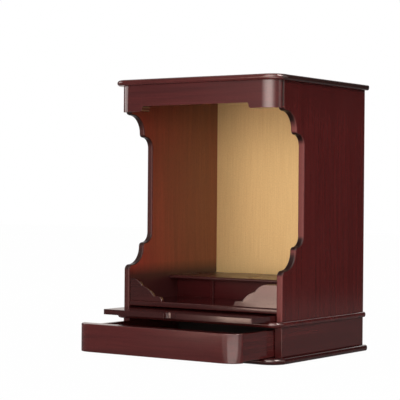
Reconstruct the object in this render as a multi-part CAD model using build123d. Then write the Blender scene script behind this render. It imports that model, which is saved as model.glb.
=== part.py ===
from build123d import *
import os

# Small open-fronted altar cabinet with a pull-out offering tray and a base drawer.
# Millimetres. X runs across the front, Y runs back to the wall, Z is up.
# The origin is the middle of the bottom board's underside, on which the cabinet stands.
# The tray and the drawer are drawn pulled out.

# Case
case_width = 310.0
case_depth = 262.0
cabinet_height = 450.0
side_thickness = 11.0
back_thickness = 3.0

# Boards that close the case, with their overhang past its sides and its front edges
top_thickness = 9.5
top_side_overhang = 9.6
top_front_overhang = 30.0
mid_thickness = 8.9
mid_side_overhang = 6.0
mid_front_overhang = 22.0
bottom_thickness = 10.0
bottom_side_overhang = 9.8
bottom_front_overhang = 30.0
top_corner_radius = 31.0
mid_corner_radius = 22.0
bottom_corner_radius = 31.0
nose_share = 0.46

# Header board and drawer front share one plan, thick with round ends
front_board_thickness = 21.5
front_board_inset = 2.0
front_board_radius = 20.5
header_end_height = 43.0
header_rise = 8.6
header_rise_from_centre = 104.0

# Cut-back front edge of the side panels, a double cove at each end
front_round = 9.0
first_cove = 30.0
cusp_round = 6.0
second_cove = 17.5
lower_front_height = 69.8
upper_front_height = 38.0
panel_edge_bevel = 1.8

# Base around the drawer
base_height = 46.8
base_side_thickness = 12.8
base_back_thickness = 8.0

# Tray that slides on the mid board
tray_thickness = 8.5
tray_length = 225.0
tray_side_gap = 0.5
tray_under_gap = 0.3
tray_over_gap = 1.9
tray_closed_inset = 1.0
tray_open = 69.7
tray_edge_bevel = 0.9
tray_corner_round = 2.0
notch_width = 24.0
notch_depth = 8.0
notch_corner = 4.0
notch_offset = -10.0

# Floor of the altar space and the raised shelf on it
floor_thickness = 8.6
floor_setback = 3.0
shelf_thickness = 5.0
shelf_height = 37.2
shelf_setback = 115.0
shelf_nose = 1.6
kick_setback = 138.0
kick_thickness = 6.0
post_width = 6.5
post_thickness = 3.5
post_spacing = 138.0
post_round = 1.0

# Scalloped corner brackets on the floor board, the right one longer than the left one
# Each lobe starts at a height and a distance from the toe, and bulges down to the next one
bracket_height = 37.0
right_bracket_length = 82.5
left_bracket_length = 65.5
bracket_thickness = 6.0
bracket_setback = 3.6
upper_lobe_start = 60.0
upper_lobe_bulge = 2.4
middle_lobe_start = 41.0
middle_lobe_height = 25.0
middle_lobe_bulge = 2.8
toe_lobe_start = 17.0
toe_lobe_height = 8.7
lobe_hollow = 2.5

# Hidden rail for the two wall screws
rail_height = 12.0
rail_thickness = 15.0
screw_spacing = 200.0
screw_hole_radius = 2.25

# Drawer
drawer_open = 105.5
drawer_under_gap = 0.5
drawer_over_gap = 1.6
drawer_front_bevel = 1.0
drawer_run_gap = 0.4
drawer_side_gap = 1.2
drawer_side_thickness = 8.0
drawer_side_drop = 2.9
drawer_box_depth = 240.0
drawer_bottom_thickness = 3.0
drawer_bottom_raise = 4.0
drawer_back_drop = 6.0

# Planes worked out from the sizes above
half_case = case_width / 2
inner_half = half_case - side_thickness
wall_y = (case_depth + bottom_front_overhang) / 2
front_y = wall_y - case_depth
back_face_y = wall_y - back_thickness
base_top_z = bottom_thickness + base_height
mid_top_z = base_top_z + mid_thickness
top_under_z = cabinet_height - top_thickness
tray_z = mid_top_z + tray_under_gap
floor_z = tray_z + tray_thickness + tray_over_gap
floor_top_z = floor_z + floor_thickness
recess = front_round + first_cove + cusp_round + second_cove

# How near a middle of an edge lies to a plane to count as on it, and how far a cut runs past a face
nearness = 0.01
run_past = 1.0


# A board with round front corners and a rounded nose on its front and sides
def nosed_board(half_width, front_overhang, radius, z, thickness):
    length = case_depth + front_overhang
    outline = Pos(0, wall_y - length / 2) * Rectangle(2 * half_width, length)
    corners = outline.vertices().group_by(Axis.Y)[0]
    board = Pos(0, 0, z) * extrude(fillet(corners, radius), thickness)
    rims = [e for e in board.edges() if abs(e.center().Z - z - thickness / 2) > thickness / 2 - nearness]
    nose = [e for e in rims if e.center().Y < wall_y - nearness]
    return fillet(nose, thickness * nose_share)


# The thick board with quarter-round ends, from its back plane forward
def front_board(back_y, z, height):
    width = case_width - 2 * front_board_inset
    outline = Pos(0, back_y - front_board_thickness / 2) * Rectangle(width, front_board_thickness)
    corners = outline.vertices().group_by(Axis.Y)[0]
    return Pos(0, 0, z) * extrude(fillet(corners, front_board_radius), height)


def box(x0, x1, y0, y1, z0, z1):
    return Pos((x0 + x1) / 2, (y0 + y1) / 2, (z0 + z1) / 2) * Box(x1 - x0, y1 - y0, z1 - z0)


def make_top_board():
    half = half_case + top_side_overhang
    return nosed_board(half, top_front_overhang, top_corner_radius, top_under_z, top_thickness)


def make_mid_board():
    half = half_case + mid_side_overhang
    return nosed_board(half, mid_front_overhang, mid_corner_radius, base_top_z, mid_thickness)


def make_bottom_board():
    half = half_case + bottom_side_overhang
    return nosed_board(half, bottom_front_overhang, bottom_corner_radius, 0, bottom_thickness)


# The header's lower edge steps up by an S of two quarter rounds on each side
def make_header_board():
    z_low = top_under_z - header_end_height
    z_high = z_low + header_rise
    quarter = header_rise / 2
    low_x = header_rise_from_centre + quarter
    high_x = header_rise_from_centre - quarter
    rise = Line((-low_x, z_low), (low_x, z_low))
    right = CenterArc((low_x, z_low + quarter), quarter, 270, -90)
    right_up = CenterArc((high_x, z_low + quarter), quarter, 0, 90)
    level = Line((high_x, z_high), (-high_x, z_high))
    left_up = CenterArc((-high_x, z_low + quarter), quarter, 90, 90)
    left = CenterArc((-low_x, z_low + quarter), quarter, 0, -90)
    cut = Plane.XZ * make_face([rise, right, right_up, level, left_up, left])
    board = front_board(front_y, z_low, header_end_height)
    return board - Pos(0, front_y, 0) * extrude(cut, case_depth, both=True)


# Side panel profile in the YZ plane, with its cut-back front edge
def side_profile():
    low = mid_top_z + lower_front_height
    high = top_under_z - upper_front_height
    cove_y = front_y + front_round
    cusp_y = cove_y + first_cove + cusp_round
    recess_y = front_y + recess
    edges = [Line((front_y, mid_top_z), (front_y, low))]
    edges.append(CenterArc((cove_y, low), front_round, 180, -90))
    low += front_round
    edges.append(CenterArc((cove_y, low + first_cove), first_cove, 270, 90))
    low += first_cove
    edges.append(CenterArc((cusp_y, low), cusp_round, 180, -90))
    low += cusp_round
    edges.append(CenterArc((cusp_y, low + second_cove), second_cove, 270, 90))
    low += second_cove
    edges.append(Line((recess_y, low), (recess_y, high - recess)))
    edges.append(CenterArc((cusp_y, high - recess), second_cove, 0, 90))
    edges.append(CenterArc((cusp_y, high - front_round - first_cove), cusp_round, 270, -90))
    edges.append(CenterArc((cove_y, high - front_round - first_cove), first_cove, 0, 90))
    edges.append(CenterArc((cove_y, high), front_round, 270, -90))
    edges.append(Line((front_y, high), (front_y, top_under_z)))
    edges.append(Line((front_y, top_under_z), (wall_y, top_under_z)))
    edges.append(Line((wall_y, top_under_z), (wall_y, mid_top_z)))
    edges.append(Line((wall_y, mid_top_z), (front_y, mid_top_z)))
    return Plane.YZ * make_face(edges)


def make_side_panel(side):
    x_low = inner_half if side > 0 else -half_case
    panel = Pos(x_low, 0, 0) * extrude(side_profile(), side_thickness)
    front = []
    for edge in panel.edges():
        centre = edge.center()
        on_face = min(abs(centre.X - x_low), abs(centre.X - x_low - side_thickness)) < nearness
        inside = mid_top_z + nearness < centre.Z < top_under_z - nearness
        if on_face and inside and centre.Y < front_y + recess + nearness:
            front.append(edge)
    return chamfer(front, panel_edge_bevel)


def make_back_panel():
    panel = box(-inner_half, inner_half, back_face_y, wall_y, mid_top_z, top_under_z)
    return panel - screw_holes()


def make_hanging_rail():
    z_low = top_under_z - rail_height
    rail = box(-inner_half, inner_half, back_face_y - rail_thickness, back_face_y, z_low, top_under_z)
    return rail - screw_holes()


def screw_holes():
    z = top_under_z - rail_height / 2
    length = 2 * (rail_thickness + back_thickness + run_past)
    hole = Rot(90, 0, 0) * Cylinder(screw_hole_radius, length)
    return [Pos(side * screw_spacing / 2, wall_y, z) * hole for side in (-1, 1)]


def make_floor_board():
    front = front_y + floor_setback
    board = box(-inner_half, inner_half, front, back_face_y, floor_z, floor_top_z)
    nose = board.edges().filter_by(Axis.X).group_by(Axis.Y)[0]
    return fillet(nose, floor_thickness * nose_share)


def make_shelf_board():
    front = front_y + shelf_setback
    top = floor_top_z + shelf_height
    board = box(-inner_half, inner_half, front, back_face_y, top - shelf_thickness, top)
    nose = board.edges().filter_by(Axis.X).group_by(Axis.Y)[0]
    return fillet(nose, shelf_nose)


def make_kick_board():
    front = front_y + kick_setback
    top = floor_top_z + shelf_height - shelf_thickness
    return box(-inner_half, inner_half, front, front + kick_thickness, floor_top_z, top)


def make_kick_post(side):
    x = side * post_spacing / 2
    back = front_y + kick_setback
    top = floor_top_z + shelf_height - shelf_thickness
    post = box(x - post_width / 2, x + post_width / 2, back - post_thickness, back, floor_top_z, top)
    front = post.edges().filter_by(Axis.Z).group_by(Axis.Y)[0]
    return fillet(front, post_round)


# Corner bracket drawn in the XZ plane from its toe outward, three lobes with hollows between
def make_corner_bracket(side):
    length = right_bracket_length if side > 0 else left_bracket_length
    outline = [Line((0, 0), (length, 0)), Line((length, 0), (length, bracket_height))]
    outline.append(Line((length, bracket_height), (upper_lobe_start, bracket_height)))
    first = (upper_lobe_start, bracket_height)
    second = (middle_lobe_start, middle_lobe_height)
    third = (toe_lobe_start, toe_lobe_height)
    outline.append(SagittaArc(second, first, upper_lobe_bulge))
    outline.append(SagittaArc(third, second, middle_lobe_bulge))
    outline.append(Line(third, (toe_lobe_height, toe_lobe_height)))
    outline.append(RadiusArc((0, 0), (toe_lobe_height, toe_lobe_height), toe_lobe_height))
    face = make_face(outline)
    corners = []
    for vertex in face.vertices():
        if min(abs(vertex.X - x) + abs(vertex.Y - z) for x, z in (second, third)) < nearness:
            corners.append(vertex)
    face = Plane.XZ * fillet(corners, lobe_hollow)
    back = front_y + bracket_setback + bracket_thickness
    board = Pos(inner_half - length, back, floor_top_z) * extrude(face, bracket_thickness)
    return board if side > 0 else mirror(board, Plane.YZ)


def make_base_side(side):
    outer = half_case
    inner = half_case - base_side_thickness
    board = box(inner, outer, front_y, wall_y, bottom_thickness, base_top_z)
    return board if side > 0 else mirror(board, Plane.YZ)


def make_base_back():
    half = half_case - base_side_thickness
    return box(-half, half, wall_y - base_back_thickness, wall_y, bottom_thickness, base_top_z)


# Tray board with a finger notch in its front edge
def make_tray_board():
    half = inner_half - tray_side_gap
    front = front_y + tray_closed_inset - tray_open
    board = box(-half, half, front, front + tray_length, tray_z, tray_z + tray_thickness)
    board = fillet(board.edges().filter_by(Axis.Z).group_by(Axis.Y)[0], tray_corner_round)
    notch = Pos(notch_offset, front) * Rectangle(notch_width, 2 * notch_depth)
    notch = fillet(notch.vertices().group_by(Axis.Y)[-1], notch_corner)
    board -= Pos(0, 0, tray_z - run_past) * extrude(notch, tray_thickness + 2 * run_past)
    rims = [e for e in board.edges().filter_by(Plane.XY) if e.center().Y < front + tray_length - nearness]
    rims = [e for e in rims if abs(abs(e.center().X) - half) > nearness]
    return chamfer(rims, tray_edge_bevel)


# Drawer box behind the front board, all drawn pulled out
drawer_back_y = front_y - drawer_open
drawer_front_z = bottom_thickness + drawer_under_gap
drawer_front_height = base_height - drawer_under_gap - drawer_over_gap
drawer_side_z = bottom_thickness + drawer_run_gap
drawer_side_top = drawer_front_z + drawer_front_height - drawer_side_drop
drawer_half = half_case - base_side_thickness - drawer_side_gap
drawer_inner = drawer_half - drawer_side_thickness
drawer_rear_y = drawer_back_y + drawer_box_depth
drawer_bottom_z = drawer_side_z + drawer_bottom_raise


def make_drawer_front():
    board = front_board(drawer_back_y, drawer_front_z, drawer_front_height)
    rims = [e for e in board.edges().filter_by(Plane.XY) if e.center().Y < drawer_back_y - nearness]
    return chamfer(rims, drawer_front_bevel)


def make_drawer_side(side):
    board = box(drawer_inner, drawer_half, drawer_back_y, drawer_rear_y, drawer_side_z, drawer_side_top)
    return board if side > 0 else mirror(board, Plane.YZ)


def make_drawer_back():
    front = drawer_rear_y - drawer_side_thickness
    low = drawer_bottom_z + drawer_bottom_thickness
    return box(-drawer_inner, drawer_inner, front, drawer_rear_y, low, drawer_side_top - drawer_back_drop)


def make_drawer_bottom():
    top = drawer_bottom_z + drawer_bottom_thickness
    return box(-drawer_inner, drawer_inner, drawer_back_y, drawer_rear_y, drawer_bottom_z, top)


nodes = {
    "top_board": make_top_board(),
    "header_board": make_header_board(),
    "left_side_panel": make_side_panel(-1),
    "right_side_panel": make_side_panel(1),
    "back_panel": make_back_panel(),
    "hanging_rail": make_hanging_rail(),
    "shelf_board": make_shelf_board(),
    "kick_board": make_kick_board(),
    "left_kick_post": make_kick_post(-1),
    "right_kick_post": make_kick_post(1),
    "floor_board": make_floor_board(),
    "left_corner_bracket": make_corner_bracket(-1),
    "right_corner_bracket": make_corner_bracket(1),
    "mid_board": make_mid_board(),
    "left_base_side": make_base_side(-1),
    "right_base_side": make_base_side(1),
    "base_back": make_base_back(),
    "bottom_board": make_bottom_board(),
    "tray_board": make_tray_board(),
    "drawer_front": make_drawer_front(),
    "drawer_left_side": make_drawer_side(-1),
    "drawer_right_side": make_drawer_side(1),
    "drawer_back": make_drawer_back(),
    "drawer_bottom": make_drawer_bottom(),
}

os.makedirs("parts", exist_ok=True)
for name, shape in nodes.items():
    export_step(shape, "parts/" + name + ".step")
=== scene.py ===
import math
import bmesh
import bpy
from mathutils import Matrix, Vector


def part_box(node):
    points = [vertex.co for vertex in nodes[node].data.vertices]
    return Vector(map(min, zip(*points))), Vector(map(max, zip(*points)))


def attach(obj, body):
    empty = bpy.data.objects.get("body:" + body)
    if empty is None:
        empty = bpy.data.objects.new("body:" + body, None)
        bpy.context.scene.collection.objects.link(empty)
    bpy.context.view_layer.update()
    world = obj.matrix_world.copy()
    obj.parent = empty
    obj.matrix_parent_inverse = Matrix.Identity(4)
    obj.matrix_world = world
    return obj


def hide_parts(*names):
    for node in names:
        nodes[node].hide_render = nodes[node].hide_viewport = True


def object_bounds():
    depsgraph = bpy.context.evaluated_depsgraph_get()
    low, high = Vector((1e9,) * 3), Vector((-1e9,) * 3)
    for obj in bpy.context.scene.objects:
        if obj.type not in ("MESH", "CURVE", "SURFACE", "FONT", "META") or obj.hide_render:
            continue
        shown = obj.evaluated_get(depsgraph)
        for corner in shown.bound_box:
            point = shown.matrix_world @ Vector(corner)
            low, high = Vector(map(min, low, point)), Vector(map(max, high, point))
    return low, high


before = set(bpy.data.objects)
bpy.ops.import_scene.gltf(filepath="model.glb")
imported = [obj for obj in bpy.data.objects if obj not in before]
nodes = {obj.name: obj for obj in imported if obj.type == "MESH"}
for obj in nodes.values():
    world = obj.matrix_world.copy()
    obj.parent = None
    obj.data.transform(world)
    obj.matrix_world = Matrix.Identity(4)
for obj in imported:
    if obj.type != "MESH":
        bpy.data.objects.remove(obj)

cadLow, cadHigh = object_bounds()
print("frame loaded:", len(nodes), "solids")


# Mesh helpers, with the distances in metres under which two points become one
weld = {"drawn": 0.000004, "swept": 0.00002}


def cleanMesh(bm, nearness=weld["drawn"]):
    bmesh.ops.remove_doubles(bm, verts=bm.verts, dist=nearness)
    bmesh.ops.dissolve_degenerate(bm, edges=bm.edges, dist=weld["drawn"])
    bmesh.ops.recalc_face_normals(bm, faces=bm.faces)


def linkMesh(name, bm):
    cleanMesh(bm)
    mesh = bpy.data.meshes.new(name)
    bm.to_mesh(mesh)
    bm.free()
    piece = bpy.data.objects.new(name, mesh)
    bpy.context.scene.collection.objects.link(piece)
    return piece


def bakeModifiers(piece):
    # what the live modifiers show becomes the piece's own mesh
    graph = bpy.context.evaluated_depsgraph_get()
    made = bpy.data.meshes.new_from_object(piece.evaluated_get(graph))
    piece.modifiers.clear()
    old = piece.data
    piece.data = made
    bpy.data.meshes.remove(old)
    made.name = piece.name


# angles in degrees: from where an edge gets its arris, and from where two faces look separate
shading = {"arrisFrom": 40, "sharpFrom": 34, "normalWeight": 60}


def roundArrises(piece, width, segments=3, weighted=False):
    bevel = piece.modifiers.new("arris", "BEVEL")
    bevel.width = width
    bevel.segments = segments
    bevel.use_clamp_overlap = True
    bevel.limit_method = "WEIGHT" if weighted else "ANGLE"
    bevel.angle_limit = math.radians(shading["arrisFrom"])
    bakeModifiers(piece)


def shadeSmooth(piece):
    # flat faces keep flat shading, rounded arrises run smoothly into them
    for polygon in piece.data.polygons:
        polygon.use_smooth = True
    piece.data.set_sharp_from_angle(angle=math.radians(shading["sharpFrom"]))
    weighted = piece.modifiers.new("weighted", "WEIGHTED_NORMAL")
    weighted.keep_sharp = True
    weighted.weight = shading["normalWeight"]
    bakeModifiers(piece)


# turn in radians per metre of face width, where rubbing starts to show and where it is full
arrisMark = {"leastDegrees": 6, "narrowest": 0.0002, "starts": 90, "full": 500}


def markArrises(piece):
    # mask for rubbed arrises: 1 where the surface turns outwards, 0 on flat faces
    bm = bmesh.new()
    bm.from_mesh(piece.data)
    mask = [0.0] * len(bm.verts)
    for edge in bm.edges:
        if len(edge.link_faces) == 2:
            turn = edge.calc_face_angle_signed(0.0)
            width = sum(f.calc_area() for f in edge.link_faces) / edge.calc_length()
            tightness = turn / max(width, arrisMark["narrowest"])
            if turn > math.radians(arrisMark["leastDegrees"]) and tightness > arrisMark["starts"]:
                for vert in edge.verts:
                    mask[vert.index] = max(mask[vert.index], min(1.0, tightness / arrisMark["full"]))
    bm.free()
    piece.data.attributes.new("arrisMask", "FLOAT", "POINT").data.foreach_set("value", mask)


def onlyMaterial(mesh, material):
    mesh.materials.clear()
    mesh.materials.append(material)
    for polygon in mesh.polygons:
        polygon.material_index = 0


def finishPiece(piece, body, replaced, material):
    onlyMaterial(piece.data, material)
    shadeSmooth(piece)
    markArrises(piece)
    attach(piece, body)
    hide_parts(*replaced)
    return piece


def plate(name, outline, axis, start, end):
    # closed outline of (u, v) points pushed through from start to end along an axis
    place = {"X": lambda u, v, w: (w, u, v), "Y": lambda u, v, w: (u, w, v), "Z": lambda u, v, w: (u, v, w)}[axis]
    bm = bmesh.new()
    near = [bm.verts.new(place(u, v, start)) for u, v in outline]
    far = [bm.verts.new(place(u, v, end)) for u, v in outline]
    bm.faces.new(near)
    bm.faces.new(list(reversed(far)))
    count = len(outline)
    for i in range(count):
        j = (i + 1) % count
        bm.faces.new((near[i], far[i], far[j], near[j]))
    return linkMesh(name, bm)


def arcPoints(centre, radius, first, last, steps):
    points = []
    for i in range(steps + 1):
        angle = math.radians(first + (last - first) * i / steps)
        points.append((centre[0] + radius * math.cos(angle), centre[1] + radius * math.sin(angle)))
    return points


# Node helpers
def plug(tree, sockets, values):
    # a socket takes a link, a number, a vector, or a colour without its alpha
    for key, value in values.items():
        if isinstance(value, bpy.types.NodeSocket):
            tree.links.new(value, sockets[key])
        elif sockets[key].type == "RGBA":
            sockets[key].default_value = (*value, 1)
        else:
            sockets[key].default_value = value


def addNode(tree, kind, values=None, **settings):
    node = tree.nodes.new(kind)
    for key, value in settings.items():
        setattr(node, key, value)
    plug(tree, node.inputs, values or {})
    return node


def mathNode(tree, kind, *values):
    return addNode(tree, "ShaderNodeMath", dict(enumerate(values)), operation=kind).outputs[0]


def ramp(tree, value, start, end, low=0.0, high=1.0):
    return addNode(tree, "ShaderNodeMapRange", {
        "Value": value, "From Min": start, "From Max": end, "To Min": low, "To Max": high}).outputs["Result"]


def noise(tree, vector, scale, detail, rough, distortion=0.0):
    return addNode(tree, "ShaderNodeTexNoise", {
        "Vector": vector, "Scale": scale, "Detail": detail, "Roughness": rough,
        "Distortion": distortion}).outputs["Fac"]


def attributeValue(tree, name):
    return addNode(tree, "ShaderNodeAttribute", attribute_name=name).outputs["Fac"]


def mixColour(tree, factor, first, second, blend="MIX"):
    mix = addNode(tree, "ShaderNodeMix", {0: factor, 6: first, 7: second}, data_type="RGBA", blend_type=blend)
    return mix.outputs[2]


def newGroup(name, amounts, results):
    # group on a vector, with named amounts going in and named masks coming out
    group = bpy.data.node_groups.new(name, "ShaderNodeTree")
    group.interface.new_socket("Vector", in_out="INPUT", socket_type="NodeSocketVector")
    for label, value in amounts.items():
        group.interface.new_socket(label, in_out="INPUT", socket_type="NodeSocketFloat").default_value = value
    for label in results:
        group.interface.new_socket(label, in_out="OUTPUT", socket_type="NodeSocketFloat")
    entry = group.nodes.new("NodeGroupInput")
    leave = group.nodes.new("NodeGroupOutput")
    return group, entry.outputs, leave.inputs


# span of each pattern that counts, and the tones that it is turned into
patternTones = {
    "figure": (0.25, 0.75), "innerFigure": (0.3, 0.7, 0.88, 1.1), "fibre": (0.3, 0.7, 0.86, 1.1),
    "pore": (0.6, 0.7), "patch": (0.38, 0.66), "cloud": (0.3, 0.7), "speck": (0.72, 0.8)}

# how far each layer of the grain is drawn out along the board, and how much of it shows
grainLayers = {"figureDraw": 0.05, "fibreDraw": 0.02, "poreDraw": 0.07, "bandScale": 42.0, "bandShare": 0.09,
               "fibreHeight": 0.35}


def makeWoodGrain():
    # grain runs along Z of the vector: broad figure, fibres, short open pores
    group, given, result = newGroup(
        "woodGrain", {"Figure Scale": 60.0, "Fibre Scale": 520.0, "Pore Scale": 2600.0},
        ("Figure", "Fibre", "Pores", "Height"))

    def drawnOut(along):
        return addNode(group, "ShaderNodeVectorMath", {0: given["Vector"], 1: (1, 1, along)},
                       operation="MULTIPLY").outputs[0]

    longWays = drawnOut(grainLayers["figureDraw"])
    clouds = noise(group, longWays, given["Figure Scale"], detail=4.0, rough=0.55, distortion=0.5)
    bands = addNode(group, "ShaderNodeTexWave", {
        "Vector": longWays, "Scale": grainLayers["bandScale"], "Distortion": 7.0, "Detail": 3.0,
        "Detail Scale": 0.9}, bands_direction="DIAGONAL")
    figure = addNode(group, "ShaderNodeMix", {
        "Factor": grainLayers["bandShare"], "A": clouds, "B": bands.outputs["Fac"]})
    fibre = noise(group, drawnOut(grainLayers["fibreDraw"]), given["Fibre Scale"], detail=3.0, rough=0.6)
    pits = noise(group, drawnOut(grainLayers["poreDraw"]), given["Pore Scale"], detail=1.0, rough=0.4)
    pores = ramp(group, pits, *patternTones["pore"])
    height = mathNode(group, "SUBTRACT", mathNode(group, "MULTIPLY", fibre, grainLayers["fibreHeight"]), pores)
    plug(group, result, {"Figure": figure.outputs["Result"], "Fibre": fibre, "Pores": pores, "Height": height})
    return group


def makeArrisWear():
    # rubbed lacquer along arrises, broken up by noise
    group, given, result = newGroup("arrisWear", {"Patch Scale": 90.0, "Cover": 0.5}, ("Wear",))
    patches = ramp(group, noise(group, given["Vector"], given["Patch Scale"], detail=5.0, rough=0.65),
                   *patternTones["patch"])
    worn = mathNode(group, "MULTIPLY", patches, attributeValue(group, "arrisMask"))
    plug(group, result, {"Wear": mathNode(group, "MULTIPLY", worn, given["Cover"])})
    return group


def makeHandlingMarks():
    # faint uneven polish and dust specks over any finish
    group, given, result = newGroup(
        "handlingMarks", {"Cloud Scale": 14.0, "Speck Scale": 900.0}, ("Cloud", "Specks"))
    plug(group, result, {
        "Cloud": noise(group, given["Vector"], given["Cloud Scale"], detail=3.0, rough=0.5),
        "Specks": ramp(group, noise(group, given["Vector"], given["Speck Scale"], detail=2.0, rough=0.5),
                       *patternTones["speck"])})
    return group


woodGrain = makeWoodGrain()
arrisWear = makeArrisWear()
handlingMarks = makeHandlingMarks()

rosewood = {
    "dark": (0.045, 0.0078, 0.0080), "light": (0.094, 0.0138, 0.0134), "pore": (0.024, 0.0034, 0.0032),
    "poreShare": 0.45, "worn": (0.20, 0.060, 0.040), "dust": (0.35, 0.31, 0.28), "dustShare": 0.10,
    "roughLow": 0.09, "roughHigh": 0.125, "rubbedRough": 0.12, "bumpDepth": 0.000014, "bumpStrength": 0.5,
    "wear": 0.35, "specular": 0.5, "sheenTint": (1.0, 0.86, 0.80)}

# the side panels are oiled inside, redder at the front and browner at the rear as a painted reflection of the gold back
# board, with a painted shadow at their foot; the whole panel takes painted shade towards its top, and their routed
# front edge is a satin band
panelWood = {
    **rosewood, "dark": (0.066, 0.0078, 0.0074), "light": (0.092, 0.0118, 0.0110), "roughLow": 0.15,
    "roughHigh": 0.20, "rubbedRough": 0.1, "wear": 0.2,
    "inner": {"front": (0.225, 0.021, 0.0125), "rear": (0.200, 0.052, 0.022), "foot": (0.034, 0.005, 0.005),
              "frontY": -0.09, "rearY": 0.10, "footShadowLow": 0.126, "footShadowHigh": 0.147, "edge": 0.1446,
              "edgeBlur": 0.0006, "shadeFrom": 0.37, "shadeTo": 0.445, "shade": 0.72, "rough": 0.42,
              "specular": 0.3}}
# the routed edge band is a lit and a shaded copy: its dark tone on the left panel is painted shade, its light tone on
# the right panel is painted light; its second tone is painted shade for the hollows and the strip by the header
leftPanelShadedEdgeWood = {**panelWood, "band": {
    "tone": (0.050, 0.012, 0.011), "hollowShade": (0.02, 0.007, 0.006), "rough": 0.42, "specular": 0.15}}
rightPanelLitEdgeWood = {**panelWood, "band": {
    "tone": (0.136, 0.030, 0.027), "hollowShade": (0.012, 0.004, 0.004), "rough": 0.42, "specular": 0.15}}

# the top board's end grain took more stain than its face
topWood = {**rosewood, "sideFrom": 0.1602, "sideBlur": 0.001, "sideStain": (0.024, 0.010, 0.009)}
deepWood = {**rosewood, "dark": (0.048, 0.0070, 0.0068), "light": (0.076, 0.0110, 0.0106)}

# these boards are a darker tone than the rest
shelfWood = {
    **rosewood, "dark": (0.027, 0.0048, 0.0048), "light": (0.046, 0.0078, 0.0078), "roughLow": 0.075,
    "roughHigh": 0.10, "wear": 0.2, "bumpDepth": 0.000008}
satinWood = {**shelfWood, "roughLow": 0.26, "roughHigh": 0.32, "specular": 0.35}

# the recessed kick board and its posts never had the polish; their darker colour is painted shade under the shelf
kickShadedWood = {
    **rosewood, "dark": (0.030, 0.0030, 0.0034), "light": (0.048, 0.0052, 0.0056), "roughLow": 0.30,
    "roughHigh": 0.38, "wear": 0.1, "specular": 0.12}

# dark lining inside the drawer
lining = {
    **rosewood, "dark": (0.0075, 0.0055, 0.0045), "light": (0.016, 0.012, 0.010), "pore": (0.003, 0.002, 0.002),
    "worn": (0.06, 0.045, 0.035), "roughLow": 0.55, "roughHigh": 0.7, "rubbedRough": 0.1, "bumpDepth": 0.00004,
    "wear": 0.2, "specular": 0.4}

grainTurns = {"Z": (0, 0, 0), "X": (0, math.radians(90), 0), "Y": (math.radians(90), 0, 0)}


def startMaterial(name):
    material = bpy.data.materials.new(name)
    material.use_nodes = True
    return material, material.node_tree, material.node_tree.nodes["Principled BSDF"]


def objectPlace(tree):
    return addNode(tree, "ShaderNodeTexCoord").outputs["Object"]


def woodMaterial(name, grainAlong, settings, offset=(0, 0, 0)):
    # the offset slides the grain, so that touching boards don't share a figure
    material, tree, shader = startMaterial(name)
    place = objectPlace(tree)
    turn = addNode(tree, "ShaderNodeMapping", {
        "Vector": place, "Location": offset, "Rotation": grainTurns[grainAlong]})
    grain = addNode(tree, "ShaderNodeGroup", {"Vector": turn.outputs["Vector"]}, node_tree=woodGrain).outputs
    wear = addNode(tree, "ShaderNodeGroup", {"Vector": place, "Cover": settings["wear"]},
                   node_tree=arrisWear).outputs["Wear"]
    marks = addNode(tree, "ShaderNodeGroup", {"Vector": place}, node_tree=handlingMarks).outputs
    axes = addNode(tree, "ShaderNodeSeparateXYZ", {0: place}).outputs
    sideways = mathNode(tree, "ABSOLUTE", axes["X"])

    colour = mixColour(tree, ramp(tree, grain["Figure"], *patternTones["figure"]), settings["dark"], settings["light"])
    inner, band = settings.get("inner"), settings.get("band")
    if inner:
        # faces that look into the case turn browner towards the rear, a painted reflection of the gold back board, and
        # dark at the foot, a painted shadow; then the whole panel takes painted shade towards its top
        inside = ramp(tree, sideways, inner["edge"], inner["edge"] - inner["edgeBlur"])
        back = ramp(tree, axes["Y"], inner["frontY"], inner["rearY"])
        figured = ramp(tree, grain["Figure"], *patternTones["innerFigure"])
        plain = mixColour(tree, 1.0, mixColour(tree, back, inner["front"], inner["rear"]), figured, "MULTIPLY")
        footShadowed = mixColour(tree, ramp(tree, axes["Z"], inner["footShadowLow"], inner["footShadowHigh"]), inner["foot"], plain)
        shaded = ramp(tree, axes["Z"], inner["shadeFrom"], inner["shadeTo"], 1.0, inner["shade"])
        colour = mixColour(tree, 1.0, mixColour(tree, inside, colour, footShadowed), shaded, "MULTIPLY")
    colour = mixColour(tree, 1.0, colour, ramp(tree, grain["Fibre"], *patternTones["fibre"]), "MULTIPLY")
    if band:
        # routed edge, with painted shade in the hollows that look up or down and in the strip by the header
        routed = attributeValue(tree, "edgeBand")
        colour = mixColour(tree, routed, colour, band["tone"])
        colour = mixColour(tree, attributeValue(tree, "edgeHollowShade"), colour, band["hollowShade"])
    if "sideStain" in settings:
        side = ramp(tree, sideways, settings["sideFrom"], settings["sideFrom"] + settings["sideBlur"])
        colour = mixColour(tree, side, colour, settings["sideStain"])
    colour = mixColour(tree, mathNode(tree, "MULTIPLY", grain["Pores"], settings["poreShare"]), colour,
                       settings["pore"])
    colour = mixColour(tree, wear, colour, settings["worn"])
    colour = mixColour(tree, mathNode(tree, "MULTIPLY", marks["Specks"], settings["dustShare"]), colour,
                       settings["dust"])

    polish = ramp(tree, marks["Cloud"], *patternTones["cloud"], settings["roughLow"], settings["roughHigh"])
    rough = mathNode(tree, "MULTIPLY_ADD", wear, settings["rubbedRough"], polish)
    level = settings["specular"]
    if inner and band:
        oiled = mathNode(tree, "MULTIPLY", inside, inner["rough"])
        satin = mathNode(tree, "MULTIPLY", routed, band["rough"])
        rough = mathNode(tree, "MAXIMUM", mathNode(tree, "MAXIMUM", oiled, satin), rough)
        level = mathNode(tree, "MINIMUM", ramp(tree, inside, 0.0, 1.0, settings["specular"], inner["specular"]),
                         ramp(tree, routed, 0.0, 1.0, settings["specular"], band["specular"]))
    bump = addNode(tree, "ShaderNodeBump", {
        "Strength": settings["bumpStrength"], "Distance": settings["bumpDepth"], "Height": grain["Height"]})
    plug(tree, shader.inputs, {
        "Base Color": colour, "Roughness": rough, "Specular IOR Level": level,
        "Specular Tint": settings["sheenTint"], "Normal": bump.outputs["Normal"]})
    return material


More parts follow.
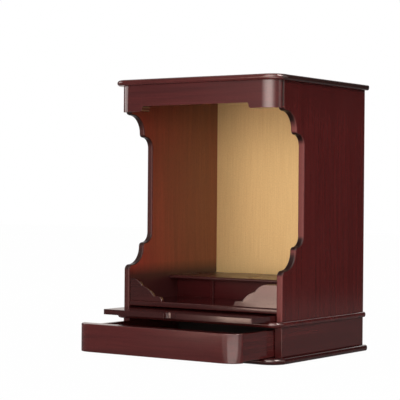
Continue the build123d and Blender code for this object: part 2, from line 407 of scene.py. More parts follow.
goldBoard = {
    "base": (0.612, 0.410, 0.176), "shade": (0.540, 0.348, 0.138), "line": (0.60, 0.42, 0.20), "lineShare": 0.12,
    "figureScale": 30.0, "fibreScale": 700.0, "fibreSpan": (0.3, 0.7), "fleckScale": 420.0,
    "fleckTones": (0.3, 0.7, 0.91, 1.08), "roughness": 0.46, "unevenness": 0.015, "metallic": 0.45,
    "threadPitch": 0.0011, "bumpDepth": 0.00002, "bumpStrength": 0.4, "outside": (0.16, 0.075, 0.04),
    "outsideFrom": cadHigh.y - 0.0012}


def goldMaterial(settings):
    # pale gold board with a fine upright thread, plain stained board on its outside
    material, tree, shader = startMaterial("goldBackBoard")
    place = objectPlace(tree)
    axes = addNode(tree, "ShaderNodeSeparateXYZ", {0: place}).outputs
    grain = addNode(tree, "ShaderNodeGroup", {
        "Vector": place, "Figure Scale": settings["figureScale"], "Fibre Scale": settings["fibreScale"]},
        node_tree=woodGrain).outputs
    marks = addNode(tree, "ShaderNodeGroup", {"Vector": place}, node_tree=handlingMarks).outputs
    ripple = mathNode(tree, "SINE", mathNode(tree, "MULTIPLY", axes["X"], 2 * math.pi / settings["threadPitch"]))
    fibre = ramp(tree, grain["Fibre"], *settings["fibreSpan"])
    colour = mixColour(tree, fibre, settings["shade"], settings["base"])
    colour = mixColour(tree, ramp(tree, ripple, -1.0, 1.0, 0.0, settings["lineShare"]), colour, settings["line"])
    flecks = noise(tree, place, settings["fleckScale"], detail=3.0, rough=0.7)
    mottle = ramp(tree, flecks, *settings["fleckTones"])
    colour = mixColour(tree, 1.0, colour, mottle, "MULTIPLY")
    behind = mathNode(tree, "GREATER_THAN", axes["Y"], settings["outsideFrom"])
    rough = ramp(tree, marks["Cloud"], *patternTones["cloud"], settings["roughness"] - settings["unevenness"],
                 settings["roughness"] + settings["unevenness"])
    bump = addNode(tree, "ShaderNodeBump", {
        "Strength": settings["bumpStrength"], "Distance": settings["bumpDepth"], "Height": ripple})
    plug(tree, shader.inputs, {
        "Base Color": mixColour(tree, behind, colour, settings["outside"]), "Metallic": settings["metallic"],
        "Roughness": rough, "Normal": bump.outputs["Normal"]})
    return material


leftPanelShadedEdge = woodMaterial("leftPanelShadedEdge", "Z", leftPanelShadedEdgeWood)
rightPanelLitEdge = woodMaterial("rightPanelLitEdge", "Z", rightPanelLitEdgeWood)
satinAcross = woodMaterial("satinAcross", "X", satinWood, (0.005, 0.027, 0.013))
shelfAcross = woodMaterial("shelfAcross", "X", shelfWood, (0.017, 0.009, 0.011))
topAcross = woodMaterial("topAcross", "X", topWood)
kickUpright = woodMaterial("kickUpright", "Z", kickShadedWood)
kickAcross = woodMaterial("kickAcross", "X", kickShadedWood, (0.009, 0.017, 0.002))
rosewoodAcross = woodMaterial("rosewoodAcross", "X", rosewood, (0.013, 0.021, 0.007))
rosewoodDeep = woodMaterial("rosewoodDeep", "Y", deepWood, (0.031, 0.004, 0.017))
goldBack = goldMaterial(goldBoard)
darkLining = woodMaterial("darkLining", "X", lining)
print("finishes made")


# Shape tree helpers
def newShapeTree(name, inputs, result):
    tree = bpy.data.node_groups.new(name, "GeometryNodeTree")
    for label, kind in inputs:
        tree.interface.new_socket(label, in_out="INPUT", socket_type="NodeSocket" + kind)
    tree.interface.new_socket(result, in_out="OUTPUT", socket_type="NodeSocketGeometry")
    given = tree.nodes.new("NodeGroupInput").outputs
    leave = tree.nodes.new("NodeGroupOutput").inputs
    return tree, given, leave


def shifted(tree, shape, axes):
    shift = addNode(tree, "ShaderNodeCombineXYZ", axes)
    return addNode(tree, "GeometryNodeTransform", {0: shape, "Translation": shift.outputs[0]}).outputs[0]


def joined(tree, *shapes):
    node = addNode(tree, "GeometryNodeJoinGeometry")
    for shape in shapes:
        tree.links.new(shape, node.inputs[0])
    return node.outputs[0]


def endShapeTree(tree, shape, finish, leave):
    realized = addNode(tree, "GeometryNodeRealizeInstances", {0: shape})
    painted = addNode(tree, "GeometryNodeSetMaterial", {"Geometry": realized.outputs[0], "Material": finish})
    plug(tree, leave, {0: painted.outputs[0]})
    return tree


def growFrom(name, tree, values):
    # one object grown by a node tree, then kept as a plain mesh
    piece = bpy.data.objects.new(name, bpy.data.meshes.new(name))
    grow = piece.modifiers.new("grow", "NODES")
    grow.node_group = tree
    for item in tree.interface.items_tree:
        if item.item_type == "SOCKET" and item.in_out == "INPUT" and item.name in values:
            grow[item.identifier] = values[item.name]
    bpy.context.scene.collection.objects.link(piece)
    bakeModifiers(piece)
    bm = bmesh.new()
    bm.from_mesh(piece.data)
    cleanMesh(bm, weld["swept"])
    bm.to_mesh(piece.data)
    bm.free()
    return piece


# Boards whose nose is a half round swept along the plan, made by one tree
noseSteps = {"corner": 20, "round": 15}


def makeNoseTree():
    tree, given, leave = newShapeTree("noseRoundBoard", (
        ("Width", "Float"), ("Front", "Float"), ("Back", "Float"), ("Corner Radius", "Float"), ("Bottom", "Float"),
        ("Thickness", "Float"), ("Nose Depth", "Float"), ("Finish", "Material")), "Board")
    nose, back = given["Nose Depth"], given["Back"]
    where = addNode(tree, "ShaderNodeSeparateXYZ", {0: addNode(tree, "GeometryNodeInputPosition").outputs[0]}).outputs

    # plan, drawn in from the nose on its front and sides and rounded at its front corners
    front = mathNode(tree, "ADD", given["Front"], nose)
    middle = mathNode(tree, "MULTIPLY", mathNode(tree, "ADD", back, front), 0.5)
    plan = addNode(tree, "GeometryNodeCurvePrimitiveQuadrilateral", {
        "Width": mathNode(tree, "SUBTRACT", given["Width"], mathNode(tree, "MULTIPLY", nose, 2.0)),
        "Height": mathNode(tree, "SUBTRACT", back, front)})
    atFront = addNode(tree, "FunctionNodeCompare", {0: where["Y"], 1: middle}, data_type="FLOAT",
                      operation="LESS_THAN")
    radius = addNode(tree, "GeometryNodeSwitch", {
        "Switch": atFront.outputs[0], "True": mathNode(tree, "SUBTRACT", given["Corner Radius"], nose)},
        input_type="FLOAT")
    rounded = addNode(tree, "GeometryNodeFilletCurve", {
        "Curve": shifted(tree, plan.outputs[0], {"Y": middle, "Z": given["Bottom"]}), "Radius": radius.outputs[0],
        "Count": noseSteps["corner"]}, mode="POLY").outputs[0]

    # half-round profile, swept and then held at the wall plane
    arc = addNode(tree, "GeometryNodeCurveArc", {
        "Resolution": noseSteps["round"], "Radius": 1.0, "Start Angle": -math.pi / 2, "Sweep Angle": math.pi},
        mode="RADIUS")
    half = mathNode(tree, "MULTIPLY", given["Thickness"], 0.5)
    stretch = addNode(tree, "ShaderNodeCombineXYZ", {"X": nose, "Y": half, "Z": 1.0})
    profile = addNode(tree, "GeometryNodeTransform", {0: arc.outputs[0], "Scale": stretch.outputs[0]})
    sweep = addNode(tree, "GeometryNodeCurveToMesh", {
        "Curve": rounded,
        "Profile Curve": shifted(tree, profile.outputs[0], {"Y": mathNode(tree, "MULTIPLY", half, -1.0)})})
    kept = addNode(tree, "ShaderNodeCombineXYZ", {
        "X": where["X"], "Y": mathNode(tree, "MINIMUM", where["Y"], back), "Z": where["Z"]})
    held = addNode(tree, "GeometryNodeSetPosition", {"Geometry": sweep.outputs[0], "Position": kept.outputs[0]})

    # the filled plan comes out level with zero, so both faces are lifted to their heights
    flat = addNode(tree, "GeometryNodeFillCurve", {"Curve": rounded}, mode="NGONS").outputs[0]
    under = shifted(tree, flat, {"Z": given["Bottom"]})
    over = shifted(tree, flat, {"Z": mathNode(tree, "ADD", given["Bottom"], given["Thickness"])})
    merged = addNode(tree, "GeometryNodeMergeByDistance", {
        0: joined(tree, held.outputs[0], under, over), "Distance": weld["swept"]})
    return endShapeTree(tree, merged.outputs[0], given["Finish"], leave)


noseBoards = {
    "topBoard": {"node": "top_board", "radius": 0.031, "noseDepth": 0.0044, "finish": topAcross},
    "midBoard": {"node": "mid_board", "radius": 0.022, "noseDepth": 0.0041, "finish": rosewoodAcross},
    "bottomBoard": {"node": "bottom_board", "radius": 0.031, "noseDepth": 0.0046, "finish": shelfAcross}}
noseTree = makeNoseTree()
for name, s in noseBoards.items():
    low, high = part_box(s["node"])
    piece = growFrom(name, noseTree, {
        "Width": high.x - low.x, "Front": low.y, "Back": high.y, "Corner Radius": s["radius"], "Bottom": low.z,
        "Thickness": high.z - low.z, "Nose Depth": s["noseDepth"], "Finish": s["finish"]})
    finishPiece(piece, "cabinet", [s["node"]], s["finish"])
print("boards with noses grown")


# Thick front boards with quarter-round ends: the header and the drawer front
frontBoard = {"radius": 0.0205, "run": 0.026, "backArris": 0.0015, "headerRim": 0.0004, "hiddenRim": 0.00002,
              "drawerRim": 0.0012, "leastGap": 0.0002, "endSteps": 20, "backSteps": 4, "rimSteps": 4}


def frontPlan(low, high, spots):
    # points and outward directions along the front, from the left back arris to the right one
    radius, run, small = frontBoard["radius"], frontBoard["run"], frontBoard["backArris"]
    right = []
    for i in range(frontBoard["endSteps"] + 1):
        angle = math.radians(-90 + 90 * i / frontBoard["endSteps"])
        outward = Vector((math.cos(angle) / run, math.sin(angle) / radius)).normalized()
        right.append((high.x - run + run * math.cos(angle), low.y + radius + radius * math.sin(angle), *outward))
    for i in range(frontBoard["backSteps"] + 1):
        angle = math.radians(90 * i / frontBoard["backSteps"])
        right.append((high.x - small + small * math.cos(angle), high.y - small + small * math.sin(angle),
                      math.cos(angle), math.sin(angle)))
    straight = [(x, low.y, 0.0, -1.0) for x in spots if abs(x) < high.x - run - frontBoard["leastGap"]]
    left = [(-x, y, -nx, ny) for x, y, nx, ny in reversed(right)]
    return left + sorted(straight) + right


def frontBoardPiece(name, nodeName, body, lowRim, topRim, spots=(), lowerEdge=None):
    low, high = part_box(nodeName)
    steps = frontBoard["rimSteps"]
    bm = bmesh.new()
    columns = []
    for x, y, nx, ny in frontPlan(low, high, spots):
        base = lowerEdge(x) if lowerEdge else low.z
        turnIn = 0.0 if ny > 0 else 1.0  # the rims stay square at the back arrises
        column = [(x, high.y, base)]
        for rim, level, way in ((lowRim, base, 1), (topRim, high.z, -1)):
            for i in range(steps + 1):
                angle = math.pi / 2 * (i if way > 0 else steps - i) / steps
                inset = rim * (1 - math.sin(angle)) * turnIn
                column.append((x - nx * inset, y - ny * inset, level + way * rim * (1 - math.cos(angle))))
        columns.append([bm.verts.new(point) for point in column + [(x, high.y, high.z)]])
    for first, second in zip(columns, columns[1:]):
        for k in range(len(first) - 1):
            bm.faces.new((first[k], second[k], second[k + 1], first[k + 1]))
    # the back face runs along the foot of every column and up the two end ones
    rear = [column[0] for column in columns] + columns[-1][1:] + [column[-1] for column in columns[-2:0:-1]]
    bm.faces.new(rear + columns[0][:0:-1])
    return finishPiece(linkMesh(name, bm), body, [nodeName], rosewoodAcross)


headerStep = {"rise": 0.0086, "fromCentre": 0.104, "steps": 18, "plainSpots": (0.0, 0.04, 0.075)}


def headerLowerEdge(x):
    # two quarter rounds make the step on each side of the raised middle
    low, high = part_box("header_board")
    quarter = headerStep["rise"] / 2
    away = max(-quarter, min(quarter, abs(x) - headerStep["fromCentre"]))
    swell = math.sqrt(max(0.0, quarter ** 2 - (quarter - abs(away)) ** 2))
    return low.z + quarter - math.copysign(swell, away)


def headerSpots():
    spots = list(headerStep["plainSpots"])
    quarter = headerStep["rise"] / 2
    for i in range(headerStep["steps"] + 1):
        away = quarter * (1 - math.sin(math.radians(90 * i / headerStep["steps"])))
        spots += [headerStep["fromCentre"] + away, headerStep["fromCentre"] - away]
    return sorted(set(round(x * side, 7) for x in spots for side in (-1, 1)))


frontBoardPiece("headerBoard", "header_board", "cabinet", frontBoard["headerRim"], frontBoard["hiddenRim"],
                headerSpots(), headerLowerEdge)
frontBoardPiece("drawerFront", "drawer_front", "drawer", frontBoard["drawerRim"], frontBoard["drawerRim"])
print("header and drawer front made")


# Side panels with the double coves of their front edge
sidePanel = {
    # radius, form and steps of each arc, from the front edge to the recess
    "doubleCove": ((0.009, "round", 7), (0.030, "hollow", 14), (0.006, "round", 6), (0.0175, "hollow", 10)),
    "lowerFront": 0.0698, "upperFront": 0.038, "arris": 0.0026, "arrisSteps": 4,
    "headerStrip": 0.0405, "flatFrom": 0.9, "fullUp": 0.3, "startDown": 0.15, "fullDown": 0.55,
    "leastLevelRun": 0.05, "nearness": 0.000001}


def sideOutline(low, high):
    y, lowest = low.y, low.z + sidePanel["lowerFront"]
    z = lowest
    lower = [(y, z)]
    for radius, form, steps in sidePanel["doubleCove"]:
        if form == "round":
            lower += arcPoints((y + radius, z), radius, 180, 90, steps)[1:]
        else:
            lower += arcPoints((y, z + radius), radius, 270, 360, steps)[1:]
        y, z = y + radius, z + radius
    recess = y
    upper = [(y, high.z - sidePanel["upperFront"] - (z - lowest)) for y, z in reversed(lower)]
    outline = [(low.y, low.z)] + lower + upper + [(low.y, high.z), (high.y, high.z), (high.y, low.z)]
    return outline, recess


def sidePanelPiece(name, nodeName, material):
    s = sidePanel
    low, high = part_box(nodeName)
    outline, recess = sideOutline(low, high)
    piece = plate(name, outline, "X", low.x, high.x)
    bm = bmesh.new()
    bm.from_mesh(piece.data)
    weight = bm.edges.layers.float.new("bevel_weight_edge")
    for edge in bm.edges:
        a, b = (v.co for v in edge.verts)
        onFace = abs(a.x - b.x) < s["nearness"]
        levelRun = abs(a.z - b.z) < s["nearness"] and abs(a.y - b.y) > s["leastLevelRun"]
        if onFace and max(a.y, b.y) < recess + s["nearness"] and not levelRun:
            edge[weight] = 1.0
    bm.to_mesh(piece.data)
    bm.free()
    roundArrises(piece, s["arris"], s["arrisSteps"], weighted=True)
    finishPiece(piece, "cabinet", [nodeName], material)
    # the routed edge is every face that isn't flat left or right; its hollows and its strip by the header get painted
    # shade
    band, hollow = [], []
    for polygon in piece.data.polygons:
        n = polygon.normal
        band.append(1.0 if abs(n.x) < s["flatFrom"] and n.y < s["flatFrom"] else 0.0)
        depth = max(n.z / s["fullUp"], (-n.z - s["startDown"]) / (s["fullDown"] - s["startDown"]))
        if polygon.center.z > high.z - s["headerStrip"]:
            depth = 1.0
        hollow.append(band[-1] * max(0.0, min(1.0, depth)))
    for label, values in (("edgeBand", band), ("edgeHollowShade", hollow)):
        piece.data.attributes.new(label, "FLOAT", "FACE").data.foreach_set("value", values)


sidePanelPiece("leftSidePanel", "left_side_panel", leftPanelShadedEdge)
sidePanelPiece("rightSidePanel", "right_side_panel", rightPanelLitEdge)
print("side panels made")

# Straight boards: two with a front edge rounded over and under, the rest a little eased on their arrises
roundFrontBoards = {
    "floorBoard": {"node": "floor_board", "round": 0.0019, "finish": shelfAcross},
    "shelfBoard": {"node": "shelf_board", "round": 0.0018, "finish": satinAcross}}
easedBoards = {
    "kickBoard": {"node": "kick_board", "body": "cabinet", "ease": 0.0003, "finish": kickAcross},
    "leftBaseSide": {"node": "left_base_side", "body": "cabinet", "ease": 0.0007, "finish": rosewoodDeep},
    "rightBaseSide": {"node": "right_base_side", "body": "cabinet", "ease": 0.0007, "finish": rosewoodDeep},
    "drawerLeftSide": {"node": "drawer_left_side", "body": "drawer", "ease": 0.0008, "finish": rosewoodDeep},
    "drawerRightSide": {"node": "drawer_right_side", "body": "drawer", "ease": 0.0008, "finish": rosewoodDeep},
    "drawerBack": {"node": "drawer_back", "body": "drawer", "ease": 0.0006, "finish": darkLining,
                   "slot": "dark_lining"}}


def roundFrontPiece(name, s, steps=7):
    low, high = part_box(s["node"])
    r = s["round"]
    outline = [(high.y, low.z)] + arcPoints((low.y + r, low.z + r), r, 270, 180, steps)
    outline += arcPoints((low.y + r, high.z - r), r, 180, 90, steps) + [(high.y, high.z)]
    finishPiece(plate(name, outline, "X", low.x, high.x), "cabinet", [s["node"]], s["finish"])


def easedPiece(name, s):
    low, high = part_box(s["node"])
    piece = plate(name, [(low.x, low.y), (high.x, low.y), (high.x, high.y), (low.x, high.y)], "Z", low.z, high.z)
    roundArrises(piece, s["ease"])
    finishPiece(piece, s["body"], [s["node"]], s["finish"])


for name, s in roundFrontBoards.items():
    roundFrontPiece(name, s)
for name, s in easedBoards.items():
    easedPiece(name, s)
print("plain boards made")


# Kick posts, one instance on each point of a line
def makePostTree():
    tree, given, leave = newShapeTree("kickPostRow", (
        ("Spacing", "Float"), ("Count", "Int"), ("Size", "Vector"), ("Foot", "Vector"), ("Round", "Float"),
        ("Round Steps", "Int"), ("Finish", "Material")), "Posts")
    size = addNode(tree, "ShaderNodeSeparateXYZ", {0: given["Size"]}).outputs
    section = addNode(tree, "GeometryNodeCurvePrimitiveQuadrilateral", {"Width": size["X"], "Height": size["Y"]})
    rounded = addNode(tree, "GeometryNodeFilletCurve", {
        "Curve": section.outputs[0], "Radius": given["Round"], "Count": given["Round Steps"]}, mode="POLY")
    filled = addNode(tree, "GeometryNodeFillCurve", {"Curve": rounded.outputs[0]}, mode="NGONS")
    upward = addNode(tree, "ShaderNodeCombineXYZ", {"Z": 1.0})
    raised = addNode(tree, "GeometryNodeExtrudeMesh", {
        "Mesh": filled.outputs[0], "Offset": upward.outputs[0], "Offset Scale": size["Z"], "Individual": False},
        mode="FACES")
    turned = addNode(tree, "GeometryNodeFlipFaces", {"Mesh": filled.outputs[0]})
    step = addNode(tree, "ShaderNodeCombineXYZ", {"X": given["Spacing"]})
    line = addNode(tree, "GeometryNodeMeshLine", {
        "Count": given["Count"], "Start Location": given["Foot"], "Offset": step.outputs[0]}, mode="OFFSET")
    row = addNode(tree, "GeometryNodeInstanceOnPoints", {
        "Points": line.outputs[0], "Instance": joined(tree, raised.outputs["Mesh"], turned.outputs[0])})
    return endShapeTree(tree, row.outputs[0], given["Finish"], leave)


kickPosts = {"count": 2, "spacing": 0.138, "round": 0.001, "roundSteps": 5}
postLow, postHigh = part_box("left_kick_post")
posts = growFrom("kickPosts", makePostTree(), {
    "Spacing": kickPosts["spacing"], "Count": kickPosts["count"], "Round": kickPosts["round"],
    "Round Steps": kickPosts["roundSteps"],
    "Size": (postHigh.x - postLow.x, postHigh.y - postLow.y, postHigh.z - postLow.z), "Finish": kickUpright,
    "Foot": ((postLow.x + postHigh.x) / 2, (postLow.y + postHigh.y) / 2, postLow.z)})
finishPiece(posts, "cabinet", ["left_kick_post", "right_kick_post"], kickUpright)
print("kick posts grown")


# Scalloped corner brackets
cornerBracket = {
    "upperStart": 0.060, "upperBulge": 0.0024, "midStart": 0.041, "midHeight": 0.025, "midBulge": 0.0028,
    "toeStart": 0.017, "toeHeight": 0.0087, "toeFlat": 0.003, "hollowReach": 0.0014, "arris": 0.0007,
    "upperSteps": 16, "midSteps": 20, "toeSteps": 9, "hollowSteps": 5}


def bulgedRun(start, end, bulge, steps):
    # arc from start to end that swells to the left of its direction
    sx, sz = start
    ex, ez = end
    chord = math.hypot(ex - sx, ez - sz)
    radius = (chord * chord / 4 + bulge * bulge) / (2 * bulge)
    half = math.asin(chord / 2 / radius)
    ux, uz = (ex - sx) / chord, (ez - sz) / chord
    points = []
    for i in range(steps + 1):
        angle = -half + 2 * half * i / steps
        along = radius * math.sin(angle)
        out = radius * math.cos(angle) - (radius - bulge)
        points.append(((sx + ex) / 2 + ux * along - uz * out, (sz + ez) / 2 + uz * along + ux * out))
    return points


def softenHollow(points, corner, reach, steps):
    # trims both runs at a hollow corner and joins them by a smooth curve
    first = last = min(range(len(points)), key=lambda i: math.dist(points[i], corner))
    while math.dist(points[first], corner) < reach:
        first -= 1
    while math.dist(points[last], corner) < reach:
        last += 1
    a, b = points[first], points[last]
    curve = []
    for i in range(1, steps):
        t = i / steps
        curve.append(tuple((1 - t) ** 2 * p + 2 * t * (1 - t) * c + t * t * q for p, c, q in zip(a, corner, b)))
    return points[:first + 1] + curve + points[last:]


def bracketPiece(name, nodeName, side):
    low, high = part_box(nodeName)
    s = cornerBracket
    length, height = high.x - low.x, high.z - low.z
    toe, middle, top = (s["toeStart"], s["toeHeight"]), (s["midStart"], s["midHeight"]), (s["upperStart"], height)
    outline = arcPoints((s["toeHeight"], 0), s["toeHeight"], 180, 90, s["toeSteps"])
    outline.append((s["toeStart"] - s["toeFlat"], s["toeHeight"]))
    outline += bulgedRun(toe, middle, s["midBulge"], s["midSteps"])
    outline += bulgedRun(middle, top, s["upperBulge"], s["upperSteps"])[1:]
    for corner in (toe, middle):
        outline = softenHollow(outline, corner, s["hollowReach"], s["hollowSteps"])
    outline += [(length, height), (length, 0)]
    root = high.x - length if side > 0 else low.x + length
    piece = plate(name, [(root + side * u, low.z + v) for u, v in outline], "Y", low.y, high.y)
    roundArrises(piece, s["arris"])
    finishPiece(piece, "cabinet", [nodeName], shelfAcross)


bracketPiece("leftCornerBracket", "left_corner_bracket", -1)
bracketPiece("rightCornerBracket", "right_corner_bracket", 1)
print("corner brackets made")


# Tray board with its finger notch
trayBoard = {"corner": 0.002, "notchWidth": 0.024, "notchDepth": 0.008, "notchCorner": 0.0078,
             "notchOffset": -0.010, "arris": 0.0009, "cornerSteps": 5, "notchSteps": 6}


def trayPiece():
    low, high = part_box("tray_board")
    s = trayBoard
    r, c = s["corner"], s["notchCorner"]
    left, right = s["notchOffset"] - s["notchWidth"] / 2, s["notchOffset"] + s["notchWidth"] / 2
    deep = low.y + s["notchDepth"]
    outline = arcPoints((low.x + r, low.y + r), r, 180, 270, s["cornerSteps"]) + [(left, low.y)]
    outline += arcPoints((left + c, deep - c), c, 180, 90, s["notchSteps"])
    outline += arcPoints((right - c, deep - c), c, 90, 0, s["notchSteps"]) + [(right, low.y)]
    outline += arcPoints((high.x - r, low.y + r), r, 270, 360, s["cornerSteps"]) + [(high.x, high.y), (low.x, high.y)]
    piece = plate("trayBoard", outline, "Z", low.z, high.z)
    roundArrises(piece, s["arris"])
    finishPiece(piece, "tray", ["tray_board"], shelfAcross)


trayPiece()
print("tray made")

# Flat inner boards keep their solids and only take a finish
carriedOver = {"back_panel": goldBack, "hanging_rail": rosewoodAcross, "base_back": rosewoodAcross,
               "drawer_bottom": darkLining}
for nodeName, material in carriedOver.items():
    onlyMaterial(nodes[nodeName].data, material)
print("inner boards finished")

# Floor, cards, lamps and world
studio = {"floorSize": 14.0, "floorLevel": -0.0002, "floorColour": (0.55, 0.55, 0.55), "floorRough": 0.7,
          "floorGlow": 0.99, "worldLight": 0.14, "aimHeight": 0.22, "gleamLift": 0.001}


def backgroundMask(tree):
    # 1 for rays that see the background itself or mirror it
    path = addNode(tree, "ShaderNodeLightPath").outputs
    seen = mathNode(tree, "MAXIMUM", path["Is Camera Ray"], path["Is Glossy Ray"])
    return mathNode(tree, "MAXIMUM", seen, path["Is Transmission Ray"])


def flatSheet(name, corners):
    bm = bmesh.new()
    bm.faces.new([bm.verts.new(corner) for corner in corners])
    return linkMesh(name, bm)


def makeFloor():
    half, level = studio["floorSize"] / 2, studio["floorLevel"]
    floor = flatSheet("floor", ((-half, -half, level), (half, -half, level), (half, half, level), (-half, half, level)))
    material, tree, shader = startMaterial("paleFloor")
    plug(tree, shader.inputs, {"Base Color": studio["floorColour"], "Roughness": studio["floorRough"]})
    glow = addNode(tree, "ShaderNodeEmission", {"Color": (1, 1, 1), "Strength": 1.0})
    mix = addNode(tree, "ShaderNodeMixShader", {
        0: mathNode(tree, "MULTIPLY", backgroundMask(tree), studio["floorGlow"]), 1: shader.outputs[0],
        2: glow.outputs[0]})
    plug(tree, tree.nodes["Material Output"].inputs, {"Surface": mix.outputs[0]})
    floor.data.materials.append(material)


def around(azimuth, elevation, distance, height=studio["aimHeight"]):
    a, e = math.radians(azimuth), math.radians(elevation)
    return Vector((distance * math.sin(a) * math.cos(e), -distance * math.cos(a) * math.cos(e),
                   height + distance * math.sin(e)))


def hangCard(card, shade=None, tint=(1, 1, 1)):
    # only reflections see a card; one without a shade glows as its own attribute says
    material, tree, shader = startMaterial(card.name + "Light")
    tree.nodes.remove(shader)
    strength = attributeValue(tree, "glow") if shade is None else shade
    glow = addNode(tree, "ShaderNodeEmission", {"Color": tint, "Strength": strength})
    plug(tree, tree.nodes["Material Output"].inputs, {"Surface": glow.outputs[0]})
    card.data.materials.append(material)
    card.visible_camera = False
    card.visible_diffuse = False
    card.visible_shadow = False


# Curved sheets: how brightly each azimuth shows in the gloss, and each height of the sheet
softWalls = {
    "leftFlag": {
        "distance": 2.3, "rows": ((0.0, 1.0), (3.0, 1.0)),
        "stops": ((-118, 0.05), (-52, 0.1), (-40, 0.28), (-36, 0.26))},
    "softFront": {
        "distance": 2.1, "rows": ((0.0, 0.4), (0.25, 0.85), (0.45, 1.0), (0.78, 1.0), (1.2, 0.9), (3.2, 0.75)),
        "stops": ((-37, 0.26), (-33.5, 0.28), (-31, 0.5), (-27, 0.65), (-20, 1.6), (-13, 3.4), (0, 6.4), (14, 8.2),
                  (30, 8.0), (38, 6.2), (47, 3.5), (56, 1.8), (64, 0.8), (80, 0.6), (90, 0.7), (98, 1.8),
                  (106, 1.5), (112, 0.8))}}


def between(stops, x):
    # value at x on the line drawn through the stops
    for (x0, v0), (x1, v1) in zip(stops, stops[1:]):
        if x <= x1:
            return v0 + (v1 - v0) * max(0.0, (x - x0) / (x1 - x0))
    return stops[-1][1]


def makeWall(name, s, stepAngle=3):
    first, last = s["stops"][0][0], s["stops"][-1][0]
    count = math.ceil((last - first) / stepAngle)
    bm = bmesh.new()
    columns, glows = [], []
    for i in range(count + 1):
        azimuth = first + (last - first) * i / count
        foot = around(azimuth, 0, s["distance"], 0.0)
        columns.append([bm.verts.new(foot + Vector((0, 0, z))) for z, share in s["rows"]])
        glows += [between(s["stops"], azimuth) * share for z, share in s["rows"]]
    for a, b in zip(columns, columns[1:]):
        for k in range(len(a) - 1):
            bm.faces.new((a[k], b[k], b[k + 1], a[k + 1]))
    wall = linkMesh(name, bm)
    wall.data.attributes.new("glow", "FLOAT", "POINT").data.foreach_set("value", glows)
    hangCard(wall)


# Cards stand round the cabinet as a photographer's flags; three of them make one graded strip
gradedStrip = {"azimuth": -15.6, "distance": 1.262, "width": 0.5}
uprightCards = {
    "backCard": {"azimuth": 143, "distance": 1.35, "width": 1.0, "low": 0.0, "high": 2.4, "shade": 0.03,
                 "tint": (1, 1, 1)},
    "leftRearCard": {"azimuth": -142, "distance": 1.6, "width": 0.7, "low": 0.0, "high": 0.6, "shade": 0.72,
                     "tint": (1, 0.9, 0.86)},
    "lowStrip": {**gradedStrip, "low": 0.0, "high": 0.018, "shade": 4.6, "tint": (1, 0.84, 0.75)},
    "midStrip": {**gradedStrip, "low": 0.018, "high": 0.055, "shade": 6.6, "tint": (1, 0.76, 0.69)},
    "highStrip": {**gradedStrip, "low": 0.055, "high": 0.12, "shade": 8.6, "tint": (1, 0.75, 0.67)}}


def makeUprightCard(name, s):
    up = Vector((0, 0, 1))
    centre = around(s["azimuth"], 0, s["distance"], 0.0)
    reach = up.cross(centre.normalized()) * s["width"] / 2
    low, high = up * s["low"], up * s["high"]
    card = flatSheet(name, (centre - reach + low, centre + reach + low, centre + reach + high, centre - reach + high))
    hangCard(card, s["shade"], s["tint"])


# Mats lie on the floor in front and dim what the lower gloss mirrors
floorMats = {
    "leftMat": {"start": (0.185, -0.24), "azimuth": -33, "length": 2.5, "width": -2.4, "shade": 0.26},
    "rightMat": {"start": (0.13, -0.30), "azimuth": 125, "length": 1.6, "width": 1.2, "shade": 0.2}}


def makeFloorMat(name, s):
    start = Vector((*s["start"], studio["floorLevel"] / 2))
    along = around(s["azimuth"], 0, s["length"], 0.0)
    across = around(s["azimuth"] + 90, 0, s["width"], 0.0)
    hangCard(flatSheet(name, (start, start + along, start + along + across, start + across)), s["shade"])


lamps = {
    "keyBox": {"azimuth": 17, "elevation": 7, "distance": 2.1, "width": 2.95, "height": 0.95, "power": 32,
               "diffuseOnly": True},
    "cornerGleam": {"azimuth": 76, "elevation": 40, "distance": 2.0, "width": 0.5, "height": 1.3, "power": 30,
                    "sheenOnly": True},
    "rightBox": {"azimuth": 78, "elevation": 30, "distance": 2.0, "width": 1.1, "height": 0.8, "power": 17},
    "leftKey": {"azimuth": -32, "elevation": 8, "distance": 1.9, "width": 0.9, "height": 0.8, "power": 6,
                "diffuseOnly": True},
    "leftPanel": {"azimuth": -75, "elevation": 18, "distance": 2.2, "width": 1.4, "height": 1.0, "power": 13},
    "overhead": {"azimuth": 0, "elevation": 80, "distance": 2.0, "width": 1.6, "height": 1.6, "power": 1.2},
    "backFill": {"azimuth": 200, "elevation": 35, "distance": 2.6, "width": 1.6, "height": 1.2, "power": 14}}

# Lit sheets on the table in front, which only reflections see; three of them follow on from each other
warmSheet = {"azimuth": -38.1, "width": 2.2, "tint": (1.0, 0.81, 0.70)}
tableGleams = {
    "trayGleam": {**warmSheet, "start": (-0.320, -0.80), "length": 0.455, "radiance": 8.6},
    "noseGleam": {**warmSheet, "start": (-0.598, -1.16), "length": 0.305, "radiance": 18.0},
    "bracketGleam": {**warmSheet, "start": (-0.786, -1.40), "length": 0.75, "radiance": 3.6},
    "nearGleam": {"azimuth": 0, "width": 0.6, "tint": (1.0, 1.0, 1.0), "start": (0.15, -0.28), "length": 0.45,
                  "radiance": 2.8}}


def areaLamp(name, width, height, power):
    light = bpy.data.lights.new(name, "AREA")
    light.shape = "RECTANGLE"
    light.size = width
    light.size_y = height
    light.energy = power
    lamp = bpy.data.objects.new(name, light)
    lamp.visible_camera = False
    bpy.context.scene.collection.objects.link(lamp)
    return lamp


def makeLamp(name, s):
    lamp = areaLamp(name, s["width"], s["height"], s["power"])
    lamp.location = around(s["azimuth"], s["elevation"], s["distance"])
    target = Vector((0, 0, studio["aimHeight"]))
    lamp.rotation_euler = (target - lamp.location).to_track_quat("-Z", "Y").to_euler()
    lamp.visible_diffuse = not s.get("sheenOnly", False)
    lamp.visible_glossy = not s.get("diffuseOnly", False)


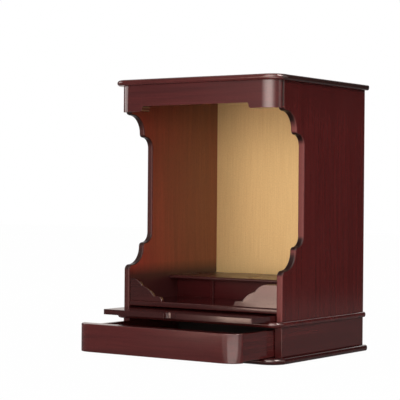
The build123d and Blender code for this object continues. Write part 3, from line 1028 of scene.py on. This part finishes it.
def makeTableGleam(name, s):
    # an area lamp that lies flat, shines up and shows in gloss alone
    lamp = areaLamp(name, s["width"], s["length"], s["radiance"] * math.pi * s["width"] * s["length"])
    lamp.data.color = s["tint"]
    along = around(s["azimuth"], 0, s["length"] / 2, 0.0)
    across = around(s["azimuth"] + 90, 0, s["width"] / 2, 0.0)
    lamp.location = Vector((*s["start"], studio["gleamLift"])) + along + across
    lamp.rotation_euler = (math.pi, 0, math.radians(s["azimuth"]))
    lamp.visible_diffuse = False


def makeWorld():
    world = bpy.data.worlds.new("studioWorld")
    world.use_nodes = True
    bpy.context.scene.world = world
    tree = world.node_tree
    plug(tree, tree.nodes["Background"].inputs, {
        "Color": (1, 1, 1), "Strength": ramp(tree, backgroundMask(tree), 0.0, 1.0, studio["worldLight"], 1.0)})


makeFloor()
for make, table in ((makeWall, softWalls), (makeUprightCard, uprightCards), (makeFloorMat, floorMats),
                    (makeLamp, lamps), (makeTableGleam, tableGleams)):
    for name, settings in table.items():
        make(name, settings)
makeWorld()
print("studio set")

# Camera at the photograph's angle
cameraView = {
    "place": (1.34943, -2.05909, 0.26312), "yaw": 34.81, "pitch": 0.20, "roll": 0.461, "sensor": 36.0,
    "lens": 132.27, "shiftX": 0.000125, "shiftY": -0.0024, "nearest": 0.05, "farthest": 50}


def makeCamera():
    s = cameraView
    yaw, pitch, roll = (math.radians(s[key]) for key in ("yaw", "pitch", "roll"))
    look = Vector((-math.sin(yaw) * math.cos(pitch), math.cos(yaw) * math.cos(pitch), -math.sin(pitch)))
    across = Vector((math.cos(yaw), math.sin(yaw), 0))
    up = across.cross(look)
    right = math.cos(roll) * across + math.sin(roll) * up
    top = -math.sin(roll) * across + math.cos(roll) * up
    data = bpy.data.cameras.new("photoCamera")
    data.sensor_width = s["sensor"]
    data.sensor_fit = "HORIZONTAL"
    data.lens = s["lens"]
    data.shift_x = s["shiftX"]
    data.shift_y = s["shiftY"]
    data.clip_start, data.clip_end = s["nearest"], s["farthest"]
    camera = bpy.data.objects.new("photoCamera", data)
    turn = Matrix((right, top, -look)).transposed().to_4x4()
    camera.matrix_world = Matrix.Translation(s["place"]) @ turn
    bpy.context.scene.collection.objects.link(camera)
    bpy.context.scene.camera = camera


makeCamera()
bpy.context.scene.view_settings.view_transform = "Standard"
print("camera set")

bpy.context.view_layer.update()
